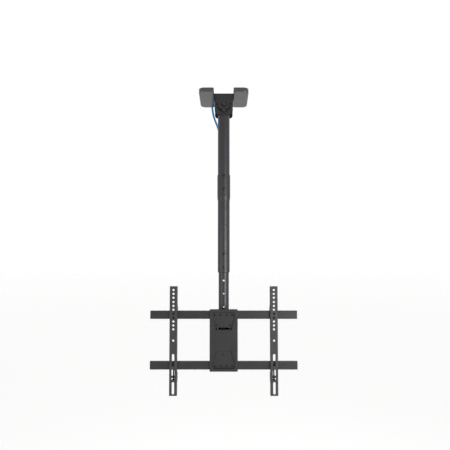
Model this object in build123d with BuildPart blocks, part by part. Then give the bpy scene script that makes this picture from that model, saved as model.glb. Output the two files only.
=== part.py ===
"""Telescopic ceiling mount for a flat screen, piece by piece.

The ceiling is the plane Z = 0 and the mount hangs below it. X is to the right, the
screen side is -Y, and the poles share the Z axis. All sizes are in millimetres.
"""

import math
import os

from build123d import *

os.makedirs("parts", exist_ok=True)

# Ceiling plate and its two cheeks
plate_sheet = 3.0
plate_bend = 5.0
cheek_gap = 51.4
cheek_top_half = 40.0
cheek_foot_half = 37.8
cheek_drop = 45.0
cheek_sag = 7.6
cheek_corner_r = 12.0
pivot_z = -46.7
lock_radius = 28.0
lock_reach = 60.0
park_hole_r = 4.0
wing_inner_x = 43.2
wing_outer_x = 99.3
wing_half_y = 78.8
wing_corner_r = 19.0
anchor_x = 72.0
anchor_y = 52.0
anchor_hole_r = 4.5
anchor_slot_l = 26.0
cable_gate_x = 54.0
cable_gate_y = 56.0
cable_gate_l = 26.0
cable_gate_w = 12.0

# Covers
cover_inner_x = 40.5
cover_outer_x = 102.5
cover_half_y = 82.0
cover_height = 17.5
cover_wall = 2.2
cover_rim_gap = 0.3
cover_outer_corner = 22.0
cover_inner_corner = 5.0
cover_edge_r = 2.5
cover_bevel_w = 20.0
cover_bevel_h = 0.9
crown_clearance = 0.4
post_y = 24.0
post_r = 4.9
post_shoulder_r = 7.0
post_clearance = 0.1
post_tip_gap = 0.5

# Tubes
tube_r = 25.0
tube_wall = 2.0
tube_top_z = -26.7
tube_end_gap = 1.0
socket_top_z = -344.5
socket_end_z = -439.0
taper_end_z = -455.5
middle_end_z = -748.0
socket_clearance = 0.2
coupling_inset = 8.5
coupling_shank = 16.0
drop_r = 21.5
drop_wall = 2.0
drop_top_z = -535.0
drop_end_z = -1068.0
slide_gap = 0.3
hole_pitch = 55.0
drop_hole_r = 4.2
drop_hole_count = 7
holes_above_screws = 2
height_screw_z = -678.4
bush_flange = 7.0
bush_edge_r = 2.5
bush_fit = 0.05
bush_above_screws = 13.0
glide_length = 15.0
glide_lip = 2.0

# Tilt yoke: levels are counted from the middle of the head
head_z = -1023.2
tilt_y = -36.0
tilt_z = head_z + 4.0
tilt_lock_r = 27.0
tilt_down = 15.0
tilt_up = 5.0
yoke_up = 108.0
yoke_down = 37.0
yoke_neck_y = -10.0
yoke_neck_up = 62.0
yoke_nose = 10.0
yoke_nose_up = 16.0
yoke_corner_r = 9.0
yoke_clearance = 0.1
yoke_bolt_up = 88.0
yoke_bolt_down = 22.0
friction_t = 1.5
ride_gap = 0.1

# Tilt bracket: levels are counted from the tilt bolt, its screws from the middle of the head
ear_up = 47.0
ear_slope_up = 22.0
ear_down = 41.0
ear_reach = 18.0
ear_corner_r = 10.0
slot_margin = 2.0
tab_lap = 11.0
tab_corner_r = 4.0
top_tab_w = 74.0
top_tab_up = 78.0
foot_tab_w = 42.0
foot_tab_down = 76.0
bracket_screw_x = 25.4
bracket_screw_up = 59.3
bracket_screw_down = 55.8
web_slot_margin = 1.0
web_slot_side = 0.3

# Head plate, with its pads counted from the middle of the head
plate_front_y = -70.0
plate_w = 112.0
plate_h = 245.0
plate_fold = 12.0
plate_corner_r = 2.5
plate_edge_r = 1.5
head_sheet = 2.0
pad_depth = 5.0
pad_draft = 20.0
pad_wide = 44.0
pad_narrow = 34.0
pad_outer = 111.0
pad_shoulder = 84.0
pad_waist = 56.0
pad_inner = 41.5
pad_corner_r = 4.0
pad_slot_h = 7.5
pad_slot_r = 2.5
pad_slot_inset = 5.0
upper_slot_side = 2.5
lower_slot_side = 4.0

# Rails
rail_half_l = 294.0
rail_half_h = 16.3
rail_depth = 12.0
rail_bend = 3.0
rail_offset = 100.0
rail_notch_gap = 1.0
rail_screw_xs = [-34.0, -12.5, 12.5, 34.0]

# Arms
arm_x = 200.0
arm_front_y = -74.0
arm_w = 31.0
arm_l = 430.0
arm_sheet = 2.0
arm_bend = 3.0
arm_hole_r = 4.25
arm_hole_pitch = 15.4
arm_hole_count = 11
arm_hole_jog = 1.6
arm_jog_count = 3
arm_top_hole = 200.0
arm_slots = [(-76.5, 48.0, 9.5), (-133.5, 42.0, 12.0), (-185.5, 48.0, 9.5)]
hook_gap = 0.5
hook_t = 5.0
hook_drop = 10.0
hook_rise = 10.0
hook_slope = 18.0
lug_drop = 13.0
lug_lip = 2.0
lug_foot = 6.0
lug_slope = 16.0
lock_block_drop = 26.0
lock_block_t = 6.0
lock_block_w = 13.0
lock_head_drop = 37.5
lock_head_r = 5.0
lock_head_h = 5.0

# Fasteners
m8_r = 4.0
m8_hole_r = 4.08
m8_slot_r = 4.3
m8_flats = 13.0
m8_head = 5.3
m8_nut = 6.5
m8_dome_r = 7.5
m8_dome_h = 4.4
m8_drive_r = 3.0
m6_r = 3.0
m6_hole_r = 3.05
m6_dome_r = 5.7
m6_dome_h = 3.3
m6_drive_r = 2.3
m5_r = 2.5
m5_hole_r = 2.6
m5_dome_r = 4.6
m5_dome_h = 3.0
m5_drive_r = 1.8
m5_flats = 8.0
m5_nut = 4.0
washer_r = 8.5
hinge_washer_r = 10.0
washer_t = 1.6
sleeve_r = 6.0
nut_fit = 0.05
bolt_tail = 3.0
screw_tail = 1.0

# Cable: out of the left cover's back wall, down to the slot in the upper tube, then inside
# the tubes to the head
cable_r = 4.25
cable_clearance = 0.75
cable_slot_z = -165.0
cable_slot_l = 60.0
cable_slot_w = 16.0
cable_slot_turn = 35.0
cable_in_x = -10.0
cable_end_z = -1085.0
cable_route = [
    (-cable_gate_x, 36, -9),
    (-cable_gate_x + 1, 103, -9),
    (-47, 117, -47),
    (-32, 90, -92),
    (-23, 46, -130),
    (-13, 10, -178),
    (cable_in_x, 0, -228),
    (cable_in_x, 0, cable_end_z),
]
relief_wall = 1.2
relief_l = 8.0
grip_shift = 1.0
grip_w = 15.0
grip_t = 11.0
grip_l = 24.0
grip_corner_r = 2.0
shell_w = 12.0
shell_t = 4.5
shell_l = 10.0
shell_corner_r = 1.0

# How far a cut runs past the face that it leaves
overcut = 1.0

cheek_face_y = cheek_gap / 2 + plate_sheet
lock_z = pivot_z - lock_radius
tube_bore_r = tube_r - tube_wall
socket_bore_r = tube_r + socket_clearance
socket_r = socket_bore_r + tube_wall
drop_bore_r = drop_r - drop_wall
pad_front_y = plate_front_y + pad_depth
pad_back_y = pad_front_y + head_sheet
coupling_zs = [socket_top_z - coupling_inset - step * hole_pitch for step in range(2)]
height_zs = [height_screw_z - step * hole_pitch for step in range(2)]


def channel_section(half_width, depth, sheet, bend):
    """Draw a folded U: the web on the local X axis, the legs along local -Y."""
    with BuildLine() as outline:
        outside = FilletPolyline(
            (-half_width, -depth), (-half_width, 0), (half_width, 0), (half_width, -depth), radius=bend
        )
        inner = half_width - sheet
        inside = FilletPolyline(
            (-inner, -depth), (-inner, -sheet), (inner, -sheet), (inner, -depth), radius=bend - sheet
        )
        Line(outside @ 0, inside @ 0)
        Line(outside @ 1, inside @ 1)
    make_face(outline.edges())


def washer(seat, outer_r, inner_r, thickness):
    """Add a flat ring on the seat plane."""
    with BuildSketch(seat) as face:
        Circle(outer_r)
        Circle(inner_r, mode=Mode.SUBTRACT)
    extrude(face.sketch, amount=thickness)


def ring(base_z, height, outer_r, inner_r):
    """Add a level ring that stands on base_z."""
    washer(Plane.XY.offset(base_z), outer_r, inner_r, height)


def hex_bolt(seat, flats, head_h, shank_r, shank_l, turn=0):
    """Make a bolt: a hexagon head with a bevelled top on the seat plane, the shank below it."""
    with BuildSketch(seat) as head:
        RegularPolygon(flats / 2, 6, major_radius=False, rotation=turn)
    prism = extrude(head.sketch, amount=head_h)
    top = prism.faces().sort_by(Axis(seat.origin, seat.z_dir))[-1]
    chamfer(top.edges(), flats / 14)
    with BuildSketch(seat) as shank:
        Circle(shank_r)
    extrude(shank.sketch, amount=-shank_l)


def hex_nut(seat, flats, thickness, hole_r, turn=0):
    """Add a nut that stands on the seat plane."""
    with BuildSketch(seat) as face:
        RegularPolygon(flats / 2, 6, major_radius=False, rotation=turn)
        Circle(hole_r, mode=Mode.SUBTRACT)
    extrude(face.sketch, amount=thickness)


def domed_screw(seat, head_r, head_h, shank_r, shank_l, drive_r):
    """Add a screw: a domed head with a six-sided drive on the seat plane, the shank below it."""
    lip = head_h / 4
    rise = head_h - lip
    dome_r = (head_r**2 + rise**2) / (2 * rise)
    half_turn = math.asin(head_r / dome_r) / 2
    middle = (dome_r * math.sin(half_turn), head_h - dome_r + dome_r * math.cos(half_turn))
    with BuildSketch(Plane(seat.origin, x_dir=seat.x_dir, z_dir=-seat.y_dir)) as half:
        with BuildLine():
            edge = Polyline(
                (0, head_h), (0, -shank_l), (shank_r, -shank_l), (shank_r, 0), (head_r, 0), (head_r, lip)
            )
            ThreePointArc(edge @ 1, middle, edge @ 0)
        make_face()
    revolve(half.sketch, axis=Axis(seat.origin, seat.z_dir))
    with BuildSketch(seat.offset(head_h)) as drive:
        RegularPolygon(drive_r, 6)
    extrude(drive.sketch, amount=-0.6 * head_h, mode=Mode.SUBTRACT)


def front_seat(x, y, z):
    """A seat plane that faces the screen side."""
    return Plane((x, y, z), x_dir=(1, 0, 0), z_dir=(0, -1, 0))


def back_seat(x, y, z):
    """A seat plane that faces away from the screen side."""
    return Plane((x, y, z), x_dir=(1, 0, 0), z_dir=(0, 1, 0))


def side_seat(side, x, y, z):
    """A seat plane that faces out to the left (side -1) or the right (side 1)."""
    return Plane((side * x, y, z), x_dir=(0, 1, 0), z_dir=(side, 0, 0))


# Ceiling plate: one folded blank. The crown and the cheeks are a channel, trimmed to the
# cheeks' outline, and two wings run out from the crown under the covers.
cheek_foot_z = pivot_z - cheek_drop
lock_slot_path = CenterArc((0, pivot_z), lock_radius, 270 - lock_reach, 2 * lock_reach)

with BuildPart() as ceiling_plate:
    with BuildSketch(Plane.YZ):
        channel_section(cheek_face_y, overcut - cheek_foot_z, plate_sheet, plate_bend)
    extrude(amount=cheek_top_half, both=True)
    with BuildSketch(Plane.XZ) as cheek_outline:
        with BuildLine():
            edge = Polyline(
                (-cheek_foot_half, cheek_foot_z + cheek_sag),
                (-cheek_top_half, 0),
                (cheek_top_half, 0),
                (cheek_foot_half, cheek_foot_z + cheek_sag),
            )
            ThreePointArc(edge @ 1, (0, cheek_foot_z), edge @ 0)
        make_face()
        fillet(cheek_outline.vertices().group_by(Axis.Y)[0], cheek_corner_r)
    extrude(amount=2 * tube_r, both=True, mode=Mode.INTERSECT)
    with BuildSketch(Plane.XY) as wings:
        with Locations((-(wing_inner_x + wing_outer_x) / 2, 0), ((wing_inner_x + wing_outer_x) / 2, 0)):
            Rectangle(wing_outer_x - wing_inner_x, 2 * wing_half_y)
        columns = wings.vertices().group_by(Axis.X)
        fillet(columns[1] + columns[2], cover_inner_corner)
        columns = wings.vertices().group_by(Axis.X)
        fillet(columns[0] + columns[-1], wing_corner_r)
        Rectangle(2 * (wing_inner_x + overcut), 2 * (cheek_face_y - plate_bend))
    extrude(amount=-plate_sheet)
    with BuildSketch(Plane.XY):
        with GridLocations(2 * anchor_x, 2 * anchor_y, 2, 2):
            Circle(anchor_hole_r)
        with GridLocations(2 * anchor_x, 2 * post_y, 2, 2):
            Circle(post_r + post_clearance)
        with Locations((-anchor_x, 0), (anchor_x, 0)):
            SlotOverall(anchor_slot_l, 2 * anchor_hole_r, rotation=90)
        with Locations((-cable_gate_x, cable_gate_y), (cable_gate_x, cable_gate_y)):
            SlotOverall(cable_gate_l, cable_gate_w, rotation=90)
    extrude(amount=-plate_sheet, mode=Mode.SUBTRACT)
    with BuildSketch(Plane.XZ):
        with Locations((0, pivot_z)):
            Circle(m8_hole_r)
        SlotArc(lock_slot_path, 2 * m8_slot_r)
    extrude(amount=2 * tube_r, both=True, mode=Mode.SUBTRACT)
    with BuildSketch(Plane.XZ):
        with Locations((-lock_radius, pivot_z), (lock_radius, pivot_z)):
            Circle(park_hole_r)
    extrude(amount=2 * tube_r, mode=Mode.SUBTRACT)

ceiling_plate.part.label = "ceiling_plate"
export_step(ceiling_plate.part, "parts/ceiling_plate.step")


# Covers: moulded trays over the wings, open to the ceiling. Two posts on each tray's floor
# plug into the wing, the inner wall is notched for the crown, the back wall for a cable.
def make_cover(side):
    """Build the cover on the left (side -1) or the right (side 1)."""
    width = cover_outer_x - cover_inner_x
    middle_x = side * (cover_outer_x + cover_inner_x) / 2
    rim = Plane((middle_x, 0, -cover_rim_gap))
    floor_z = -cover_height + cover_wall
    with BuildPart() as cover:
        with BuildSketch(rim) as outline:
            Rectangle(width, 2 * cover_half_y)
            columns = outline.vertices().group_by(Axis.X)
            fillet(columns[-1 if side > 0 else 0], cover_outer_corner)
            fillet(outline.vertices().group_by(Axis.X)[0 if side > 0 else -1], cover_inner_corner)
        extrude(amount=-(cover_height - cover_rim_gap))
        with BuildSketch(Plane.XZ):
            with BuildLine():
                Polyline(
                    (side * (cover_inner_x + cover_bevel_w), -cover_height),
                    (side * (cover_inner_x - overcut), -cover_height),
                    (side * (cover_inner_x - overcut), -cover_height + cover_bevel_h),
                    close=True,
                )
            make_face()
        extrude(amount=cover_half_y + overcut, both=True, mode=Mode.SUBTRACT)
        under = cover.faces().filter_by(lambda face: face.normal_at().Z < -0.9)
        lower_edges = ShapeList(edge for face in under for edge in face.edges())
        crease = lower_edges.filter_by(Axis.Y).filter_by(
            lambda edge: abs(abs(edge.center().X) - cover_inner_x - cover_bevel_w) < 1
        )
        fillet([edge for edge in lower_edges if edge not in crease], cover_edge_r)
        with BuildSketch(rim) as hollow:
            Rectangle(width - 2 * cover_wall, 2 * (cover_half_y - cover_wall))
            columns = hollow.vertices().group_by(Axis.X)
            fillet(columns[-1 if side > 0 else 0], cover_outer_corner - cover_wall)
            fillet(hollow.vertices().group_by(Axis.X)[0 if side > 0 else -1], cover_inner_corner - cover_wall)
        extrude(amount=floor_z + cover_rim_gap, mode=Mode.SUBTRACT)
        with BuildSketch(Plane.XY.offset(floor_z)):
            with Locations((side * anchor_x, -post_y), (side * anchor_x, post_y)):
                Circle(post_shoulder_r)
        extrude(amount=-plate_sheet - floor_z)
        with BuildSketch(Plane.XY.offset(-plate_sheet)):
            with Locations((side * anchor_x, -post_y), (side * anchor_x, post_y)):
                Circle(post_r)
        extrude(amount=plate_sheet - post_tip_gap)
        with BuildSketch(Plane((side * cover_inner_x, 0, 0))):
            Rectangle(4 * cover_wall, 2 * (cheek_face_y - plate_bend + crown_clearance))
        extrude(amount=-plate_sheet - crown_clearance, mode=Mode.SUBTRACT)
        with BuildSketch(Plane((side * cable_gate_x, cover_half_y, 0), x_dir=(1, 0, 0), z_dir=(0, -1, 0))):
            with Locations((0, cable_route[0][2])):
                Circle(cable_r + cable_clearance)
            with Locations((0, cable_route[0][2] / 2)):
                Rectangle(2 * (cable_r + cable_clearance), -cable_route[0][2])
        extrude(amount=2 * cover_wall, both=True, mode=Mode.SUBTRACT)
    return cover


left_cover = make_cover(-1)
left_cover.part.label = "left_cover"
export_step(left_cover.part, "parts/left_cover.step")

right_cover = make_cover(1)
right_cover.part.label = "right_cover"
export_step(right_cover.part, "parts/right_cover.step")


# Pivot bolt with its washers and nut: it holds the pole between the cheeks. The hexagons stand
# on a corner.
corner_down = 30.0
bolt_reach = 2 * cheek_face_y + 2 * washer_t + m8_nut + bolt_tail
with BuildPart() as pivot_bolt:
    hex_bolt(front_seat(0, -cheek_face_y - washer_t, pivot_z), m8_flats, m8_head, m8_r, bolt_reach, corner_down)

pivot_bolt.part.label = "pivot_bolt"
export_step(pivot_bolt.part, "parts/pivot_bolt.step")

with BuildPart() as pivot_nut:
    hex_nut(back_seat(0, cheek_face_y + washer_t, pivot_z), m8_flats, m8_nut, m8_r, corner_down)

pivot_nut.part.label = "pivot_nut"
export_step(pivot_nut.part, "parts/pivot_nut.step")

with BuildPart() as pivot_washers:
    washer(front_seat(0, -cheek_face_y, pivot_z), hinge_washer_r, m8_hole_r, washer_t)
    washer(back_seat(0, cheek_face_y, pivot_z), hinge_washer_r, m8_hole_r, washer_t)

pivot_washers.part.label = "pivot_washers"
export_step(pivot_washers.part, "parts/pivot_washers.step")


# Lock bolt: the same set one step lower, in the curved slots. It rides with the pole, so
# its washers stand a hair off the cheeks.
lock_face_y = cheek_face_y + ride_gap
with BuildPart() as lock_bolt:
    hex_bolt(front_seat(0, -lock_face_y - washer_t, lock_z), m8_flats, m8_head, m8_r, bolt_reach, corner_down)

lock_bolt.part.label = "lock_bolt"
export_step(lock_bolt.part, "parts/lock_bolt.step")

with BuildPart() as lock_nut:
    hex_nut(back_seat(0, lock_face_y + washer_t, lock_z), m8_flats, m8_nut, m8_r, corner_down)

lock_nut.part.label = "lock_nut"
export_step(lock_nut.part, "parts/lock_nut.step")

with BuildPart() as lock_washers:
    washer(front_seat(0, -lock_face_y, lock_z), hinge_washer_r, m8_hole_r, washer_t)
    washer(back_seat(0, lock_face_y, lock_z), hinge_washer_r, m8_hole_r, washer_t)

lock_washers.part.label = "lock_washers"
export_step(lock_washers.part, "parts/lock_washers.step")

# Sleeves: spacers through the upper tube, so that tight bolts don't crush it.
sleeve_half = cheek_gap / 2 - ride_gap
with BuildPart() as pivot_sleeve:
    washer(back_seat(0, -sleeve_half, pivot_z), sleeve_r, m8_hole_r, 2 * sleeve_half)

pivot_sleeve.part.label = "pivot_sleeve"
export_step(pivot_sleeve.part, "parts/pivot_sleeve.step")

with BuildPart() as lock_sleeve:
    washer(back_seat(0, -sleeve_half, lock_z), sleeve_r, m8_hole_r, 2 * sleeve_half)

lock_sleeve.part.label = "lock_sleeve"
export_step(lock_sleeve.part, "parts/lock_sleeve.step")


# Upper tube: hung on the two sleeves, with a slot at its back left where cables go in.
slot_turn = math.radians(cable_slot_turn)
slot_normal = (-math.sin(slot_turn), math.cos(slot_turn), 0)
with BuildPart() as upper_tube:
    ring(socket_end_z + tube_end_gap, tube_top_z - socket_end_z - tube_end_gap, tube_r, tube_bore_r)
    with BuildSketch(Plane.XZ):
        with Locations((0, pivot_z), (0, lock_z)):
            Circle(sleeve_r)
    extrude(amount=2 * tube_r, both=True, mode=Mode.SUBTRACT)
    with BuildSketch(Plane.XZ):
        with Locations(*[(0, z) for z in coupling_zs]):
            Circle(m8_hole_r)
    extrude(amount=2 * tube_r, mode=Mode.SUBTRACT)
    with BuildSketch(Plane((0, 0, cable_slot_z), x_dir=(0, 0, 1), z_dir=slot_normal)):
        SlotOverall(cable_slot_l, cable_slot_w)
    extrude(amount=2 * tube_r, mode=Mode.SUBTRACT)

upper_tube.part.label = "upper_tube"
export_step(upper_tube.part, "parts/upper_tube.step")


# Middle tube: its top is widened into a socket for the upper tube.
with BuildPart() as middle_tube:
    with BuildSketch(Plane.XZ):
        with BuildLine():
            Polyline(
                (socket_bore_r, socket_top_z),
                (socket_r, socket_top_z),
                (socket_r, socket_end_z),
                (tube_r, taper_end_z),
                (tube_r, middle_end_z),
                (tube_bore_r, middle_end_z),
                (tube_bore_r, taper_end_z),
                (socket_bore_r, socket_end_z),
                close=True,
            )
        make_face()
    revolve(axis=Axis.Z)
    with BuildSketch(Plane.XZ):
        with Locations(*[(0, z) for z in coupling_zs]):
            Circle(m8_hole_r)
        with Locations(*[(0, z) for z in height_zs]):
            Circle(m6_hole_r)
    extrude(amount=2 * tube_r, mode=Mode.SUBTRACT)

middle_tube.part.label = "middle_tube"
export_step(middle_tube.part, "parts/middle_tube.step")

# Coupling screws hold the socket to the upper tube, in nuts welded inside it.
nut_seat = math.sqrt(tube_bore_r**2 - (m8_flats / math.sqrt(3)) ** 2) - nut_fit
with BuildPart() as coupling_screws:
    for z in coupling_zs:
        domed_screw(front_seat(0, -socket_r, z), m8_dome_r, m8_dome_h, m8_r, coupling_shank, m8_drive_r)

coupling_screws.part.label = "coupling_screws"
export_step(coupling_screws.part, "parts/coupling_screws.step")

with BuildPart() as coupling_nuts:
    for z in coupling_zs:
        hex_nut(back_seat(0, -nut_seat, z), m8_flats, m8_nut, m8_r)

coupling_nuts.part.label = "coupling_nuts"
export_step(coupling_nuts.part, "parts/coupling_nuts.step")


# Guide bush: a thin plastic sleeve in the middle tube's end with a rounded flange below it.
bush_bore_r = drop_r + slide_gap
bush_top_z = height_zs[0] + bush_above_screws
with BuildPart() as guide_bush:
    ring(middle_end_z - bush_flange, bush_flange, tube_r, bush_bore_r)
    low_edge = guide_bush.edges().filter_by(GeomType.CIRCLE).group_by(Axis.Z)[0].sort_by(SortBy.RADIUS)[-1]
    fillet(low_edge, bush_edge_r)
    ring(middle_end_z, bush_top_z - middle_end_z, tube_bore_r - bush_fit, bush_bore_r)
    with BuildSketch(Plane.XZ):
        with Locations(*[(0, z) for z in height_zs]):
            Circle(m6_hole_r)
    extrude(amount=2 * tube_r, mode=Mode.SUBTRACT)

guide_bush.part.label = "guide_bush"
export_step(guide_bush.part, "parts/guide_bush.step")

# Height screws: drawn back far enough for the drop tube to slide past their tips.
with BuildPart() as height_screws:
    for z in height_zs:
        domed_screw(front_seat(0, -tube_r, z), m6_dome_r, m6_dome_h, m6_r, tube_r - bush_bore_r, m6_drive_r)

height_screws.part.label = "height_screws"
export_step(height_screws.part, "parts/height_screws.step")


# Drop tube: the slim tube that carries the head. A row of holes runs down its front and back.
drop_holes = [height_zs[0] + (holes_above_screws - step) * hole_pitch for step in range(drop_hole_count)]
yoke_zs = [head_z + yoke_bolt_up, head_z - yoke_bolt_down]
with BuildPart() as drop_tube:
    ring(drop_end_z, drop_top_z - drop_end_z, drop_r, drop_bore_r)
    with BuildSketch(Plane.XZ):
        with Locations(*[(0, z) for z in drop_holes]):
            Circle(drop_hole_r)
    extrude(amount=2 * tube_r, both=True, mode=Mode.SUBTRACT)
    with BuildSketch(Plane.XZ):
        with Locations(*[(0, z) for z in yoke_zs]):
            Circle(m8_hole_r)
    extrude(amount=-2 * tube_r, mode=Mode.SUBTRACT)

drop_tube.part.label = "drop_tube"
export_step(drop_tube.part, "parts/drop_tube.step")

# Glide ring: a plastic cap ring on the drop tube's top, which keeps it centred in the pole.
with BuildPart() as glide_ring:
    ring(drop_top_z - glide_length, glide_length, tube_bore_r - slide_gap, drop_r)
    ring(drop_top_z, glide_lip, tube_bore_r - slide_gap, drop_bore_r)

glide_ring.part.label = "glide_ring"
export_step(glide_ring.part, "parts/glide_ring.step")


# Tilt yoke: a folded channel around the drop tube, its web behind the tube and its cheeks
# reaching forward to the tilt bolts.
yoke_half = drop_r + yoke_clearance + plate_sheet
yoke_top_z = head_z + yoke_up
yoke_foot_z = head_z - yoke_down
nose_y = tilt_y - yoke_nose
with BuildPart() as tilt_yoke:
    with BuildSketch(Plane((0, yoke_half, yoke_top_z))):
        channel_section(yoke_half, yoke_half - nose_y, plate_sheet, plate_bend)
    extrude(amount=yoke_foot_z - yoke_top_z)
    with BuildSketch(Plane.YZ) as yoke_side:
        with BuildLine():
            Polyline(
                (yoke_half, yoke_top_z),
                (yoke_neck_y, yoke_top_z),
                (yoke_neck_y, head_z + yoke_neck_up),
                (nose_y, head_z + yoke_nose_up),
                (nose_y, yoke_foot_z),
                (yoke_half, yoke_foot_z),
                close=True,
            )
        make_face()
        fillet(yoke_side.vertices().group_by(Axis.X)[0], yoke_corner_r)
    extrude(amount=2 * yoke_half, both=True, mode=Mode.INTERSECT)
    with BuildSketch(Plane.YZ):
        with Locations((tilt_y, tilt_z), (tilt_y, tilt_z - tilt_lock_r)):
            Circle(m8_hole_r)
    extrude(amount=2 * yoke_half, both=True, mode=Mode.SUBTRACT)
    with BuildSketch(Plane.XZ):
        with Locations(*[(0, z) for z in yoke_zs]):
            Circle(m8_hole_r)
    extrude(amount=-2 * tube_r, mode=Mode.SUBTRACT)

tilt_yoke.part.label = "tilt_yoke"
export_step(tilt_yoke.part, "parts/tilt_yoke.step")

# Yoke bolts: driven from behind into nuts welded inside the drop tube.
yoke_nut_seat = math.sqrt(drop_bore_r**2 - (m8_flats / math.sqrt(3)) ** 2) - nut_fit
yoke_bolt_l = yoke_half - yoke_nut_seat + m8_nut
with BuildPart() as yoke_bolts:
    for z in yoke_zs:
        domed_screw(back_seat(0, yoke_half, z), m8_dome_r, m8_dome_h, m8_r, yoke_bolt_l, m8_drive_r)

yoke_bolts.part.label = "yoke_bolts"
export_step(yoke_bolts.part, "parts/yoke_bolts.step")

with BuildPart() as yoke_nuts:
    for z in yoke_zs:
        hex_nut(front_seat(0, yoke_nut_seat, z), m8_flats, m8_nut, m8_r)

yoke_nuts.part.label = "yoke_nuts"
export_step(yoke_nuts.part, "parts/yoke_nuts.step")


# Tilt bolts: one is the hinge, the other locks the angle in the bracket's curved slots.
ear_inner = yoke_half + friction_t + 2 * ride_gap
ear_outer = ear_inner + plate_sheet
tilt_seat = ear_outer + ride_gap
tilt_zs = [tilt_z, tilt_z - tilt_lock_r]
tilt_reach = 2 * tilt_seat + 2 * washer_t + m8_nut + bolt_tail
with BuildPart() as tilt_bolt:
    hex_bolt(side_seat(-1, tilt_seat + washer_t, tilt_y, tilt_z), m8_flats, m8_head, m8_r, tilt_reach)

tilt_bolt.part.label = "tilt_bolt"
export_step(tilt_bolt.part, "parts/tilt_bolt.step")

with BuildPart() as tilt_lock_bolt:
    hex_bolt(side_seat(-1, tilt_seat + washer_t, tilt_y, tilt_zs[1]), m8_flats, m8_head, m8_r, tilt_reach)

tilt_lock_bolt.part.label = "tilt_lock_bolt"
export_step(tilt_lock_bolt.part, "parts/tilt_lock_bolt.step")

with BuildPart() as tilt_nuts:
    for z in tilt_zs:
        hex_nut(side_seat(1, tilt_seat + washer_t, tilt_y, z), m8_flats, m8_nut, m8_r)

tilt_nuts.part.label = "tilt_nuts"
export_step(tilt_nuts.part, "parts/tilt_nuts.step")

with BuildPart() as tilt_washers:
    for side in (-1, 1):
        for z in tilt_zs:
            washer(side_seat(side, tilt_seat, tilt_y, z), washer_r, m8_hole_r, washer_t)

tilt_washers.part.label = "tilt_washers"
export_step(tilt_washers.part, "parts/tilt_washers.step")

sleeve_reach = yoke_half - plate_sheet
with BuildPart() as tilt_sleeves:
    for z in tilt_zs:
        washer(side_seat(1, -sleeve_reach, tilt_y, z), sleeve_r, m8_hole_r, 2 * sleeve_reach)

tilt_sleeves.part.label = "tilt_sleeves"
export_step(tilt_sleeves.part, "parts/tilt_sleeves.step")

with BuildPart() as friction_washers:
    for side in (-1, 1):
        washer(side_seat(side, yoke_half + ride_gap, tilt_y, tilt_z), washer_r, m8_hole_r, friction_t)

friction_washers.part.label = "friction_washers"
export_step(friction_washers.part, "parts/friction_washers.step")


# Tilt bracket: folded steel behind the head plate. Two ears with a hinge hole and a curved
# slot stand outside the yoke's cheeks, and flat tabs above and below are screwed to the plate.
# The slot in the plate's upper pad opens through the web into the hollow between the ears.
ear_top_z = tilt_z + ear_up
ear_foot_z = tilt_z - ear_down
ear_back_y = tilt_y + ear_reach
top_tab_z = head_z + top_tab_up
foot_tab_z = head_z - foot_tab_down
upper_slot_z = head_z + pad_inner + pad_slot_inset
upper_slot_half = pad_narrow - upper_slot_side
bracket_screws_at = [
    (-bracket_screw_x, head_z + bracket_screw_up),
    (bracket_screw_x, head_z + bracket_screw_up),
    (0, head_z - bracket_screw_down),
]
slot_start = 270 - tilt_down - slot_margin
slot_sweep = tilt_down + tilt_up + 2 * slot_margin
tilt_slot_path = CenterArc((tilt_y, tilt_z), tilt_lock_r, slot_start, slot_sweep)
with BuildPart() as tilt_bracket:
    with BuildSketch(Plane((0, pad_back_y, ear_top_z), x_dir=(-1, 0, 0), z_dir=(0, 0, 1))):
        channel_section(ear_outer, ear_back_y - pad_back_y, plate_sheet, plate_bend)
    extrude(amount=ear_foot_z - ear_top_z)
    with BuildSketch(Plane.YZ) as ear_side:
        with BuildLine():
            Polyline(
                (pad_back_y, ear_top_z),
                (ear_back_y, tilt_z + ear_slope_up),
                (ear_back_y, ear_foot_z),
                (pad_back_y, ear_foot_z),
                close=True,
            )
        make_face()
        fillet(ear_side.vertices().group_by(Axis.X)[-1], ear_corner_r)
    extrude(amount=2 * ear_outer, both=True, mode=Mode.INTERSECT)
    with BuildSketch(Plane.XZ.offset(-pad_back_y)) as tabs:
        with Locations((0, (top_tab_z + ear_top_z - tab_lap) / 2)):
            RectangleRounded(top_tab_w, top_tab_z - ear_top_z + tab_lap, tab_corner_r)
        with Locations((0, (foot_tab_z + ear_foot_z + tab_lap) / 2)):
            RectangleRounded(foot_tab_w, ear_foot_z + tab_lap - foot_tab_z, tab_corner_r)
        with Locations(*bracket_screws_at):
            Circle(m5_hole_r, mode=Mode.SUBTRACT)
    extrude(amount=-plate_sheet)
    with BuildSketch(Plane.XZ.offset(-pad_back_y)):
        with Locations((0, upper_slot_z)):
            RectangleRounded(2 * (ear_inner - web_slot_side), pad_slot_h + 2 * web_slot_margin, pad_slot_r)
    extrude(amount=-plate_sheet, mode=Mode.SUBTRACT)
    with BuildSketch(Plane.YZ):
        with Locations((tilt_y, tilt_z)):
            Circle(m8_hole_r)
        SlotArc(tilt_slot_path, 2 * m8_slot_r)
    extrude(amount=2 * ear_outer, both=True, mode=Mode.SUBTRACT)

tilt_bracket.part.label = "tilt_bracket"
export_step(tilt_bracket.part, "parts/tilt_bracket.step")


# Head plate: a pressed pan. Two pads are pressed back to meet the rails, each with a slot
# along its lower edge, and the side folds are notched where the rails pass.
rail_zs = [head_z + rail_offset, head_z - rail_offset]


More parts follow.
